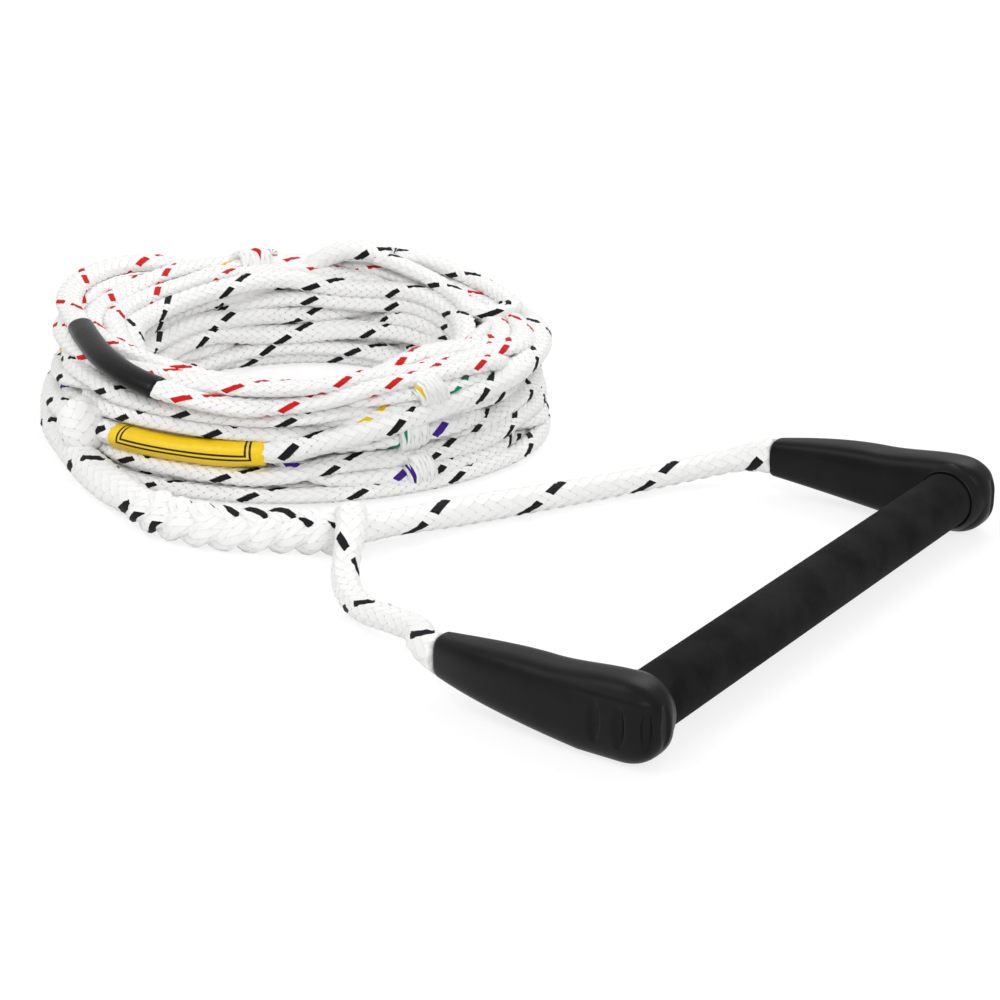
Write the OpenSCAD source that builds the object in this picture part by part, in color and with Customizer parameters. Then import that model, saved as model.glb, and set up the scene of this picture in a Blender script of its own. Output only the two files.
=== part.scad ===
// Water-ski tow rope with its handle, lying coiled on a floor.
// X runs along the bar, +Y points the way the rope leaves the handle, Z is up.
// The origin is on the floor in the middle of the handle.

/* [Handle] */
// Width over the two end caps
handle_w = 338; // [300:1:380]
// Reach from the bar axis to the mouth of each cap arm
arm_reach = 100; // [88:1:120]
// Outer diameter of the hand grip
grip_d = 28; // [26:0.5:30]
// Outer diameter of the aluminium tube
tube_d = 22.2; // [20:0.1:23]
// Wall of the aluminium tube
tube_wall = 2; // [1.5:0.1:2.4]
// Clearance between the tube and what slides on or in it
slide_gap = 0.1; // [0.05:0.05:0.3]

/* [End caps] */
// Diameter of the rounded nose round the bar's end
nose_d = 38; // [37:0.5:44]
// Thickness of the cap at its nose, along the bar
cap_t = 26; // [24:0.5:28]
// How far the outboard side draws in between nose and mouth
toe_in = 12; // [8:0.5:13]
// Width of the arm at its mouth
mouth_w = 14.5; // [13.5:0.5:17]
// Height of the arm at its mouth
mouth_h = 19.5; // [18:0.5:22]
// Height of the mouth's lower edge over the floor
mouth_rise = 9.5; // [7:0.5:10]
// Height of the arm's top just before the nose swells
shoulder_h = 34.5; // [32:0.5:36]
// Wall of the rim round the grip
rim_wall = 3.2; // [2.4:0.1:4]
// Depth of the grip's seat in the cap
grip_seat = 3.5; // [2:0.5:4]
// Rubber left between the tube's plug and the nose's outboard face
end_wall = 4.5; // [4:0.5:7]
// Number of flutes pressed into each nose
flutes = 5; // [3:1:6]
// Depth of a flute
flute_depth = 1.6; // [1:0.1:2]

/* [Tube plugs] */
// Length of the plug inside the tube
plug_len = 30; // [27:1:40]
// Thickness of the plug's flange over the tube's end
plug_flange = 1.5; // [1:0.1:2]
// Diameter of the stopper knot
knot_d = 13; // [12:0.1:14]
// Thickness of the stopper knot
knot_t = 7; // [6:0.1:8]

/* [Rope] */
// Diameter of a bridle leg
leg_d = 13; // [11:0.1:13.5]
// Diameter of the rope drawn tight inside the caps
tail_d = 9; // [7:0.1:9.5]
// Clearance round the drawn-tight rope
tail_gap = 0.3; // [0.2:0.05:0.6]
// Diameter of the plaited throat
plait_d = 22; // [18:0.5:22.5]
// Diameter of the doubled line between the plait and the coil
line_d = 20; // [16:0.5:20]
// Length of the splice where the two legs meet
splice_len = 28; // [24:1:32]

/* [Coil] */
// Mean radius of the coil
coil_r = 113; // [100:1:120]
// Width of the rope lying flat in the coil
lay_w = 12.6; // [10:0.1:12.6]
// Thickness of the rope lying flat in the coil
lay_t = 9.2; // [7:0.1:9.2]
// Gap between neighbouring ropes of a layer
lay_gap = 0.8; // [0.7:0.05:1.2]
// Ropes in the width of the coil
coil_cols = 4; // [4:1:4]
// Ropes in the height of the coil
coil_rows = 6; // [5:1:7]
// Gap between the wound outer layer and the core
core_gap = 0.6; // [0.5:0.1:1.2]
// Wall of a shrunk sleeve on the rope
sleeve_wall = 0.7; // [0.5:0.1:0.9]
// Clearance between a sleeve and the rope that it grips
sleeve_gap = 0.2; // [0.1:0.05:0.3]
// Length of the splice behind the boat-end loop
boat_splice_len = 46; // [40:1:60]

/* [Hidden] */
$fn = 64;

rope_white = "#eceae4";
rubber = "#3a3a3c";

// Handle, worked out from the sizes above
nose_r = nose_d / 2;
bar_y = -(arm_reach - nose_r) / 2;
bar_z = nose_r;
cap_x = handle_w / 2 - cap_t / 2;
inner_x = handle_w / 2 - cap_t;
mouth_x = handle_w / 2 - toe_in - mouth_w / 2;
knot_x = mouth_x + 3.75;
mouth_y = bar_y + arm_reach;
mouth_z = mouth_rise + mouth_h / 2;
rope_run = [mouth_x - knot_x, arm_reach, mouth_z - bar_z];
rope_reach = norm(rope_run);
socket_end = handle_w / 2 - end_wall;
tube_end = socket_end - slide_gap - plug_flange;
tube_id = tube_d - 2 * tube_wall;
grip_end = inner_x + grip_seat;
rim_r = grip_d / 2 + slide_gap + rim_wall;
knot_pocket = knot_d + 2 * tail_gap;

function mix(a, b, t) = a + (b - a) * t;
function clamp(t) = max(0, min(1, t));
function ease(t) = let (c = clamp(t)) c * c * (3 - 2 * c);
function unit(v) = v / norm(v);

// Joins rings of points with triangles and closes each end round its middle
module skin(rings) {
    n = len(rings[0]);
    m = len(rings);
    e = (m - 1) * n;
    function middle(r) = [for (p = r) 1] * r / len(r);
    polyhedron(
        points = [for (r = rings) each r, middle(rings[0]), middle(rings[m - 1])],
        faces = [
            for (j = [0 : m - 2], i = [0 : n - 1]) let (k = (i + 1) % n)
                each [[j * n + i, (j + 1) * n + i, j * n + k],
                      [j * n + k, (j + 1) * n + i, (j + 1) * n + k]],
            for (i = [0 : n - 1]) let (k = (i + 1) % n) each [[i, k, m * n], [e + k, e + i, m * n + 1]]]);
}

// Like skin, for a sleeve with an outer and an inner wall
module skin_sleeve(outer, inner) {
    n = len(outer[0]);
    m = len(outer);
    o = m * n;
    polyhedron(
        points = [for (r = outer) each r, for (r = inner) each r],
        faces = [
            for (j = [0 : m - 2], i = [0 : n - 1]) let (k = (i + 1) % n)
                each [[j * n + i, (j + 1) * n + i, j * n + k],
                      [j * n + k, (j + 1) * n + i, (j + 1) * n + k],
                      [o + j * n + i, o + j * n + k, o + (j + 1) * n + i],
                      [o + j * n + k, o + (j + 1) * n + k, o + (j + 1) * n + i]],
            for (i = [0 : n - 1]) let (k = (i + 1) % n, e = (m - 1) * n)
                each [[i, k, o + i], [k, o + k, o + i],
                      [e + i, o + e + i, e + k], [e + k, o + e + i, o + e + k]]]);
}

// Smooth curve through hand-chosen points, with n steps between neighbours
function curve(p, n) = [
    for (i = [0 : len(p) - 2]) let (
        a = p[max(i - 1, 0)], b = p[i], c = p[i + 1], d = p[min(i + 2, len(p) - 1)])
        for (j = [0 : n - 1]) let (t = j / n)
            (2 * b + (c - a) * t + (2 * a - 5 * b + 4 * c - d) * t * t
                + (3 * b - a - 3 * c + d) * t * t * t) / 2,
    p[len(p) - 1]];

// Level ring of a tube, square to the route: side is the level direction across it
function tube_ring(c, dir, w, h, n) = let (
    side = unit(cross(dir, [0, 0, 1])), up = cross(side, unit(dir)))
    [for (i = [0 : n - 1]) let (a = 360 * i / n + 180 / n)
        c + side * (w / 2 * cos(a)) + up * (h / 2 * sin(a))];

// Tube along a route, with the directions of its two ends given
module tube(route, d0, d1, w, h, n = 10) {
    m = len(route);
    skin([for (i = [0 : m - 1])
        tube_ring(route[i], i == 0 ? d0 : i == m - 1 ? d1 : route[i + 1] - route[i - 1], w, h, n)]);
}

// Outline of the cap across the arm, a rounded square: outboard is +, up is +
cap_power = 3.2;
function lobe(c, power) = sign(c) * pow(abs(c), 2 / power);
outline = [for (i = [31 : -1 : 0]) [lobe(cos(11.25 * i), cap_power), lobe(sin(11.25 * i), cap_power)]];

// Section of the cap at v from the bar axis, shrunk by s round its middle
function cap_section(v, s) = let (
    t = clamp(v / arm_reach),
    b = clamp((t - 0.42) / 0.58),
    outer = handle_w / 2 - toe_in * pow(t, 3),
    inner = mix(inner_x, mouth_x - mouth_w / 2, ease(t / 0.6)),
    top = mix(mix(nose_d, shoulder_h, ease(t / 0.42)), mouth_rise + mouth_h, b * b * (3 - b) / 2),
    low = mouth_rise * clamp((t - 0.2) / 0.8))
    [for (q = outline) [
        (outer + inner) / 2 + q[0] * (outer - inner) / 2 * s,
        bar_y + v,
        (top + low) / 2 + q[1] * (top - low) / 2 * s]];

// Back of the nose: its sections close along a rounded curve
nose_power = 2.3;
nose_back = nose_r + 0.8;

module right_cap_body() {
    skin([
        for (a = [84, 66, 48, 30, 14])
            cap_section(-nose_back * lobe(sin(a), nose_power), lobe(cos(a), nose_power)),
        for (t = [0, 0.08, 0.16, 0.25, 0.35, 0.46, 0.58, 0.7, 0.82, 0.92]) cap_section(arm_reach * t, 1),
        cap_section(arm_reach - 1.4, 1),
        cap_section(arm_reach, 0.92)]);
}

// Stands on the rope's axis through the right cap, from the bar axis out
module along_rope() {
    translate([knot_x, bar_y, bar_z])
        rotate([0, acos(rope_run[2] / rope_reach), atan2(rope_run[1], rope_run[0])]) children();
}

// One flute: p is its place on the nose in plan, n the way out of the rubber there
module flute(p, n) {
    flute_r = 2.9;
    c = p + unit(n) * (flute_r - flute_depth);
    translate([cap_x + c[0], bar_y + c[1], bar_z - nose_r]) {
        cylinder(r = flute_r, h = nose_r + 5, $fn = 24);
        translate([0, 0, nose_r + 5]) cylinder(r1 = flute_r, r2 = flute_r - flute_depth, h = 6, $fn = 24);
    }
}

module right_cap() {
    difference() {
        union() {
            right_cap_body();
            translate([inner_x, bar_y, bar_z]) rotate([0, 90, 0]) {
                cylinder(r1 = rim_r - 1, r2 = rim_r, h = 1);
                translate([0, 0, 1]) cylinder(r = rim_r, h = cap_t / 2);
            }
        }
        translate([inner_x - 1, bar_y, bar_z]) rotate([0, 90, 0]) {
            cylinder(d = grip_d + 2 * slide_gap, h = grip_seat + 1 + slide_gap);
            cylinder(d = tube_d + 2 * slide_gap, h = socket_end - inner_x + 1);
        }
        along_rope() {
            cylinder(d = tail_d + 2 * tail_gap, h = rope_reach + 2);
            translate([0, 0, rope_reach - 5])
                cylinder(d1 = tail_d + 2 * tail_gap, d2 = mouth_w - 2.6, h = 6);
        }
        for (i = [0 : flutes - 1]) let (m = mix(-20, 22, i / (flutes - 1)), k = 3 * m)
            if (m < 0) flute([cap_t / 2, -m], [1, 0]);
            else flute(
                [cap_t / 2 * lobe(cos(k), nose_power), -nose_back * lobe(sin(k), nose_power)],
                [pow(cos(k), 2 - 2 / nose_power) / cap_t * 2, -pow(sin(k), 2 - 2 / nose_power) / nose_back]);
    }
}

module right_end_cap() { color(rubber) right_cap(); }

module left_end_cap() { color(rubber) mirror([1, 0, 0]) right_cap(); }

// Aluminium tube with a hole in its front wall near each end for the rope
module handle_tube() {
    color("silver") difference() {
        translate([-tube_end, bar_y, bar_z]) rotate([0, 90, 0]) cylinder(d = tube_d, h = 2 * tube_end);
        translate([-tube_end - 1, bar_y, bar_z]) rotate([0, 90, 0])
            cylinder(d = tube_id, h = 2 * tube_end + 2);
        for (s = [0, 1]) mirror([s, 0, 0]) along_rope() cylinder(d = tail_d + 2 * tail_gap, h = tube_d);
    }
}

module grip_sleeve() {
    color("#1c1c1d") translate([-grip_end, bar_y, bar_z]) rotate([0, 90, 0]) difference() {
        cylinder(d = grip_d, h = 2 * grip_end);
        translate([0, 0, -1]) cylinder(d = tube_d + 2 * slide_gap, h = 2 * grip_end + 2);
    }
}

// Nylon plug that seals the tube, with the rope's way in and a pocket for its knot
module right_plug() {
    difference() {
        translate([tube_end - plug_len, bar_y, bar_z]) rotate([0, 90, 0]) {
            cylinder(d = tube_id - 2 * slide_gap, h = plug_len);
            translate([0, 0, plug_len]) cylinder(d = tube_d, h = plug_flange);
        }
        along_rope() {
            cylinder(d = tail_d + 2 * tail_gap, h = tube_d);
            translate([0, 0, -tube_d]) cylinder(d = knot_pocket, h = tube_d + knot_t / 2 + tail_gap);
        }
    }
}

module right_tube_plug() { color("#d8d6cc") right_plug(); }

module left_tube_plug() { color("#d8d6cc") mirror([1, 0, 0]) right_plug(); }

// Stopper knot with three soft turns, seated in the plug's pocket
module right_knot() {
    b = knot_t / 3;
    along_rope() translate([0, 0, -knot_t / 2]) rotate_extrude() union() {
        square([knot_d / 2 - b * 0.5, knot_t]);
        for (i = [0 : 2]) translate([knot_d / 2 - b / 2, b * (i + 0.5)]) circle(d = b);
    }
}

module right_stopper_knot() { color(rope_white) right_knot(); }

module left_stopper_knot() { color(rope_white) mirror([1, 0, 0]) right_knot(); }

// Rope drawn tight from the knot to the mouth
module right_tail() {
    along_rope() translate([0, 0, knot_t / 2]) cylinder(d = tail_d, h = rope_reach + tail_gap - knot_t / 2);
}

module right_leg_tail() { color(rope_white) right_tail(); }

module left_leg_tail() { color(rope_white) mirror([1, 0, 0]) right_tail(); }

// Where a leg starts, at the mouth, and the way it leaves
mouth_dir = rope_run / rope_reach;
left_mouth_dir = [-mouth_dir[0], mouth_dir[1], mouth_dir[2]];
leg_start = [knot_x, bar_y, bar_z] + mouth_dir * (rope_reach + tail_gap);

// Throat: its splice lies along throat_dir and each leg runs into it
throat = [-36, 183];
throat_dir = unit([-84, 54, 0]);
throat_seat = 10;
throat_z = plait_d / 2 + 0.5;
throat_0 = [throat[0], throat[1], throat_z];
throat_1 = throat_0 + throat_dir * splice_len;
left_seat_dir = unit([54, 84, 0]);
left_seat = throat_0 + throat_dir * splice_len / 2 - left_seat_dir * throat_seat;

left_leg_points = [
    [-leg_start[0], leg_start[1], leg_start[2]], [-148, 73, 17], [-138.5, 92, 12.5], [-125, 110, 9],
    [-112, 129, 7.5], [-100, 144, 7.5], [-86, 155, 8.5], [-71, 162, 10],
    left_seat - left_seat_dir * leg_d, left_seat];
right_leg_points = [
    leg_start, [147, 73, 16.5], [135, 91, 11.5], [110, 108, 8],
    [82, 123, 7.5], [54, 137, 7.5], [27, 149, 7.5], [1, 160, 8.5],
    throat_0 - throat_dir * leg_d, throat_0];
// Hair's breadth left where the plait's end meets the splice
rope_joint_gap = 0.05;
plait_points = [
    throat_1 + throat_dir * rope_joint_gap, throat_1 + throat_dir * 12,
    [-78, 222, 11], [-83, 244, 11], [-83, 268, 11], [-79, 292, 11], [-74, 312, 11]];
line_points = [
    [-74, 312, 11], [-66, 331, 10.5], [-47.5, 364, 10], [-32, 394, 10], [-14.5, 423, 10], [7, 449, 10],
    [33, 470.5, 10.5], [63, 486, 12.5], [95, 494.5, 17], [122, 494, 21.5], [148, 488.5, 23]];

module left_bridle_leg() {
    color(rope_white) tube(curve(left_leg_points, 2), left_mouth_dir, left_seat_dir, leg_d, leg_d);
}

module right_bridle_leg() {
    color(rope_white) tube(curve(right_leg_points, 2), mouth_dir, throat_dir, leg_d, leg_d);
}

// Splice at the throat: a barrel that both legs and the plait meet, flat where the left leg seats
module throat_splice() {
    a = atan2(throat_dir[1], throat_dir[0]);
    color(rope_white) difference() {
        translate(throat_0) rotate([0, 0, a]) rotate([0, 90, 0]) rotate_extrude() polygon([
            [0, 0], [leg_d / 2 + 0.3, 0], [plait_d / 2, 7], [plait_d / 2, splice_len], [0, splice_len]]);
        translate(throat_0) rotate([0, 0, a]) translate([-1, throat_seat, -plait_d])
            cube([splice_len + 2, plait_d, 2 * plait_d]);
    }
}

plait_end_dir = [0.3, 1, 0];
hitch_angle = 75;
hitch_dir = [sin(hitch_angle), -cos(hitch_angle), 0];

module throat_plait() {
    color(rope_white) tube(curve(plait_points, 2), throat_dir, plait_end_dir, plait_d, plait_d - 1);
}

module handle_line() {
    color(rope_white) tube(curve(line_points, 2), plait_end_dir, hitch_dir, line_d, line_d);
}

// Coil: the outer layer winds round a bundle whose section is a stadium of coil_cols by coil_rows ropes.
// u counts ropes along the layer from the outer shoulder, down the outside, under, up the inside and over.
coil_c = [109, 343];
pitch_r = lay_w + lay_gap;
pitch_z = lay_t + lay_gap;
arc_n = (coil_cols - 1) / 2;
side_n = coil_rows - coil_cols;
round_n = PI * arc_n;
step_n = 1.08;
turns = 11.35;
start_angle = -48;
bundle_z = pitch_z * (coil_rows - 1) / 2 + lay_t / 2;

function layer_at(u0) = let (u = u0 < 0 ? u0 + 2 * (side_n + round_n) : u0)
    u < side_n ? [arc_n, side_n / 2 - u] :
    u < side_n + round_n ? let (a = -180 * (u - side_n) / round_n)
        [arc_n * cos(a), -side_n / 2 + arc_n * sin(a)] :
    u < 2 * side_n + round_n ? [-arc_n, -side_n / 2 + u - side_n - round_n] :
    let (a = 180 - 180 * (u - 2 * side_n - round_n) / round_n) [arc_n * cos(a), side_n / 2 + arc_n * sin(a)];

// Lead-in and lead-out, in turns: off the layer, then down to the hitch
lead_off = 0.12;
lead_down = 0.2;
lead_in = lead_off + lead_down;
lead_out = 0.14;
lead_r = 17;
lead_z = 16;

// Radius from the coil's axis and height of the rope's middle at turn t
function lay(t) = let (p = layer_at(step_n * t),
    n = unit([p[0], max(abs(p[1]) - side_n / 2, 0) * sign(p[1])]),
    off = t < 0 ? lead_r * ease(-t / lead_off) : t > turns ? pitch_r * ease((t - turns) / lead_out) : 0,
    down = t < -lead_off ? lead_z * ease((-t - lead_off) / lead_down) : 0)
    [coil_r + pitch_r * p[0] + off * n[0],
     max(lay_t / 2, bundle_z + pitch_z * p[1]) + off * n[1] - down];

// Six-sided section of the rope at turn t, smaller by s all round
function lay_ring(t, s) = let (c = lay(t), a = start_angle - 360 * t, w = lay_w / 2 - s, h = lay_t / 2 - s)
    [for (q = [[w, 0], [0.42 * w, h], [-0.42 * w, h], [-w, 0], [-0.42 * w, -h], [0.42 * w, -h]])
        [coil_c[0] + (c[0] + q[0]) * cos(a), coil_c[1] + (c[0] + q[0]) * sin(a), c[1] + q[1]]];

// Turns at which rings lie between a and b
rings = 24;
function ring_turns(a, b) = let (n = max(2, ceil((b - a) * rings - 0.01)))
    [for (i = [0 : n]) mix(a, b, i / n)];

// Stretch of the coil from turn a to turn b, drawn in where the sleeve [from, to] grips it
module stretch(a, b, grip = [0, 0]) {
    e = 0.004;
    t = grip[1] <= grip[0] ? ring_turns(a, b) :
        concat(ring_turns(a, grip[0] - e), ring_turns(grip[0], grip[1]), ring_turns(grip[1] + e, b));
    in = sleeve_wall + sleeve_gap;
    skin([for (x = t) lay_ring(x, x > grip[0] - e / 2 && x < grip[1] + e / 2 && grip[1] > grip[0] ? in : 0)]);
}

module sleeve(grip) {
    t = ring_turns(grip[0], grip[1]);
    skin_sleeve([for (x = t) lay_ring(x, 0)], [for (x = t) lay_ring(x, sleeve_wall)]);
}

// Hitch between two sections: three soft wraps in the line of the rope
module hitch(a, b) {
    n = 6;
    skin([for (i = [0 : n]) lay_ring(mix(a, b, i / n), i % 2 == 0 ? 0.5 : 0)]);
}

// Turns at which the sections join, each join a hitch of hitch_turn
hitch_turn = 0.05;
joins = [7.2, 8, 8.8, 9.6, 10.8];
yellow_grip = [1.278, 1.372];
black_grip = [10.36, 10.51];

module main_section() { color(rope_white) stretch(-lead_in, joins[0], yellow_grip); }

module violet_section() { color(rope_white) stretch(joins[0] + hitch_turn, joins[1]); }

module green_section() { color(rope_white) stretch(joins[1] + hitch_turn, joins[2]); }

module yellow_section() { color(rope_white) stretch(joins[2] + hitch_turn, joins[3]); }

module red_section() { color(rope_white) stretch(joins[3] + hitch_turn, joins[4], black_grip); }

module boat_section() { color(rope_white) stretch(joins[4] + hitch_turn, turns + lead_out); }

module violet_hitch() { color(rope_white) hitch(joins[0], joins[0] + hitch_turn); }

module green_hitch() { color(rope_white) hitch(joins[1], joins[1] + hitch_turn); }

module yellow_hitch() { color(rope_white) hitch(joins[2], joins[2] + hitch_turn); }

module red_hitch() { color(rope_white) hitch(joins[3], joins[3] + hitch_turn); }

module boat_hitch() { color(rope_white) hitch(joins[4], joins[4] + hitch_turn); }

module yellow_sleeve() { color("gold") sleeve(yellow_grip); }

module black_sleeve() { color("#141414") sleeve(black_grip); }

// Core of the coil: the inner turns as one plain ring
module coil_core() {
    dip = (coil_r + arc_n * pitch_r) * (1 - cos(180 / rings));
    w = arc_n * pitch_r - lay_w / 2 - core_gap - dip / 2;
    h = arc_n * pitch_z - lay_t / 2 - core_gap;
    s = side_n / 2 * pitch_z;
    color(rope_white) translate([coil_c[0], coil_c[1], bundle_z]) rotate_extrude($fn = 96)
        translate([coil_r - dip / 2, 0]) polygon([for (a = [0 : 15 : 180]) [w * cos(a), s + h * sin(a)],
                 for (a = [180 : 15 : 360]) [w * cos(a), -s + h * sin(a)]]);
}

// Hitch between the handle's line and the main section, along the coil's rim
line_hitch_0 = start_angle + 360 * lead_in;
module line_hitch() {
    c0 = lay(-lead_in);
    a0 = line_hitch_0;
    p0 = [coil_c[0] + c0[0] * cos(a0), coil_c[1] + c0[0] * sin(a0), c0[1]];
    p1 = line_points[len(line_points) - 1];
    d0 = [sin(a0), -cos(a0), 0];
    skin([
        tube_ring(p1, hitch_dir, line_d, line_d, 10),
        tube_ring(mix(p1, p0, 0.35) + [0.6, 1.2, 0], mix(hitch_dir, d0, 0.35), line_d + 3, line_d + 1, 10),
        tube_ring(mix(p1, p0, 0.7) + [0.6, 1.2, 0], mix(hitch_dir, d0, 0.7), line_d - 1, line_d - 2, 10),
        tube_ring(p0, d0, lay_w, lay_t, 10)]);
}

// Boat end: a splice on top of the coil that opens into the tow loop
boat_turn = turns + lead_out;
boat_0 = lay(boat_turn);
boat_top = pitch_z * (coil_rows - 1) + lay_t + lay_t / 2 + 1.2;
boat_r = coil_r + 7;
eye_half = 12;
splice_turn = boat_splice_len / (2 * PI * boat_r);
climb_turn = 0.27;

function boat_frame(t, r, z, w, h) = let (a = start_angle - 360 * t)
    [for (i = [0 : 7]) let (b = 360 * i / 8 + 22.5, q = r + w / 2 * cos(b))
        [coil_c[0] + q * cos(a), coil_c[1] + q * sin(a), z + h / 2 * sin(b)]];

module boat_splice() {
    n = 10;
    color(rope_white) skin([
        for (i = [0 : n]) let (k = ease(i / n))
            boat_frame(boat_turn + climb_turn * i / n, mix(boat_0[0], boat_r, k), mix(boat_0[1], boat_top, k),
                mix(lay_w, lay_w + 2, k), mix(lay_t, lay_t, k)),
        for (i = [1 : 3]) boat_frame(boat_turn + climb_turn + splice_turn * i / 3, boat_r, boat_top,
            mix(lay_w + 2, 2 * (eye_half + lay_w / 2), ease(i / 3)), lay_t)]);
}

// Tow loop: out along the rim, round, and back into the splice
eye_turn = 0.13;
module boat_loop() {
    t0 = boat_turn + climb_turn + splice_turn;
    n = 5;
    m = 8;
    bow = 15;
    function eye(k, q) = let (a = start_angle - 360 * k, r = boat_r + q)
        [coil_c[0] + r * cos(a), coil_c[1] + r * sin(a), boat_top];
    out = [for (i = [0 : n]) eye(t0 + eye_turn * i / n, mix(eye_half, bow, ease(i / n)))];
    back = [for (i = [0 : n]) eye(t0 + eye_turn * (1 - i / n), -mix(bow, eye_half, ease(i / n)))];
    bend = [for (i = [1 : m - 1]) let (b = 180 * i / m)
        eye(t0 + eye_turn + bow * sin(b) / (2 * PI * boat_r), bow * cos(b))];
    a0 = start_angle - 360 * t0;
    d0 = [sin(a0), -cos(a0), 0];
    color(rope_white) tube(concat(out, bend, back), d0, -d0, lay_w - 1.6, lay_t, 8);
}

// Least gap of the coil to itself, on points of rings that lie side by side
function ring_more(r) = [for (i = [0 : 5], k = [0 : 0.25 : 0.75]) mix(r[i], r[(i + 1) % 6], k)];
function ring_gap(a, b) = min([for (p = ring_more(a), q = ring_more(b)) norm(p - q)]);
coil_gap = min([for (i = [-7 : ceil((turns + lead_out) * 24)], k = [1, 2, floor(turns), floor(turns) + 1])
    let (t = i / 24) if (t + k <= turns + lead_out) ring_gap(lay_ring(t, 0), lay_ring(t + k, 0))]);
echo(coil_gap = coil_gap, coil_height = 2 * bundle_z, tube_end = tube_end);

handle_tube();
grip_sleeve();
left_end_cap();
right_end_cap();
left_tube_plug();
right_tube_plug();
left_stopper_knot();
right_stopper_knot();
left_leg_tail();
right_leg_tail();
left_bridle_leg();
right_bridle_leg();
throat_splice();
throat_plait();
handle_line();
color(rope_white) line_hitch();
coil_core();
main_section();
violet_hitch();
violet_section();
green_hitch();
green_section();
yellow_hitch();
yellow_section();
red_hitch();
red_section();
boat_hitch();
boat_section();
yellow_sleeve();
black_sleeve();
boat_splice();
boat_loop();
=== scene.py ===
import math

import bmesh
import bpy
import numpy as np
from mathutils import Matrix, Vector


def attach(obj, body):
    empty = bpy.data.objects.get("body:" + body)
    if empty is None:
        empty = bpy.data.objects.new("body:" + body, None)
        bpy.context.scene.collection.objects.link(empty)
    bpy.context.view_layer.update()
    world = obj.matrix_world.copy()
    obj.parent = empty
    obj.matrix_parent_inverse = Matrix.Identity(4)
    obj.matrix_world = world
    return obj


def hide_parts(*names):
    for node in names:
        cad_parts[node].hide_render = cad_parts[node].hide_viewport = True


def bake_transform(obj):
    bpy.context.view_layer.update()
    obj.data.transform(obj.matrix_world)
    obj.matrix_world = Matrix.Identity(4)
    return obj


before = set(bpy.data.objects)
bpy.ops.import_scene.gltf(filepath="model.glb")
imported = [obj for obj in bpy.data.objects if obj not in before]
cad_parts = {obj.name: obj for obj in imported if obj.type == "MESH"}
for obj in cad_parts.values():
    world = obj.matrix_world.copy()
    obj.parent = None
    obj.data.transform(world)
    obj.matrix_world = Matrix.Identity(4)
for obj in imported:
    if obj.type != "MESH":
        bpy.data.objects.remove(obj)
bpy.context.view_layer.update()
scene = bpy.context.scene

# Camera: stands to the left of the handle and looks along the rope over the near end cap.
# A long lens half a metre over the floor; its place and turn are fitted to the handle's outline.
LOOKS_DOWN, TURNS_RIGHT = 21.34, 55.55
camera = bpy.data.objects.new("camera", bpy.data.cameras.new("camera"))
camera.data.lens = 97.2
camera.data.sensor_width = 36.0
camera.data.clip_start, camera.data.clip_end = 0.05, 20.0
camera.location = (-1.02225, -0.5697, 0.51153)
camera.rotation_euler = (math.radians(90 - LOOKS_DOWN), 0.0, math.radians(-TURNS_RIGHT))
scene.collection.objects.link(camera)
scene.camera = camera

# Bridle legs: the two soft arms of the handle's rope, from the cap mouths to the throat.
# White hollow braid of 16 flat yarns with one coloured tracer yarn, each yarn over two and under two.
# It is braided by machine with no core, so it lies a little flat, and it fans out over each mouth.
MM = 0.001
YARNS_EACH_WAY = 8
BRAID_PITCH = 0.055


def catmull(points, k):
    """k steps between neighbouring points of a smooth curve through them."""
    p = np.asarray(points, float)
    q = np.vstack([2 * p[0] - p[1], p, 2 * p[-1] - p[-2]])
    a, b, c, d = q[:-3, None], q[1:-2, None], q[2:-1, None], q[3:, None]
    t = (np.arange(k) / k)[None, :, None]
    fine = (2 * b + (c - a) * t + (2 * a - 5 * b + 4 * c - d) * t**2 + (3 * b - a - 3 * c + d) * t**3) / 2
    return np.vstack([fine.reshape(-1, p.shape[1]), p[-1:]])


def along(points):
    """Length along a route at each of its points."""
    return np.r_[0.0, np.cumsum(np.linalg.norm(np.diff(points, axis=0), axis=1))]


def resample(at, s, values):
    """Columns that are known at the lengths s, read off at other lengths."""
    return np.column_stack([np.interp(at, s, column) for column in values.T])


def upright(route):
    """The way up, once for each point of a route."""
    return np.tile([0.0, 0.0, 1.0], (len(route), 1))


def moving_frame(centre, up):
    """The ways up and aside at each point of a route, square to it."""
    ahead = np.gradient(centre, axis=0)
    ahead /= np.linalg.norm(ahead, axis=1)[:, None]
    upward = up - ahead * (up * ahead).sum(1)[:, None]
    upward /= np.linalg.norm(upward, axis=1)[:, None]
    return upward, np.cross(ahead, upward)


def add_object(name, mesh):
    """Puts a mesh into the scene as an object of the same name."""
    piece = bpy.data.objects.new(name, mesh)
    scene.collection.objects.link(piece)
    return piece


def ellipse_angles(shares, ratios):
    """Angles on an ellipse, one row for each ratio of width to thickness, at even shares of its girth."""
    psi = np.linspace(0, 2 * np.pi, 721)
    rows = []
    for ratio in ratios:
        girth = along(np.c_[ratio * np.cos(psi), np.sin(psi)])
        rows.append(np.interp(shares % 1.0, girth / girth[-1], psi))
    return np.array(rows)


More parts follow.
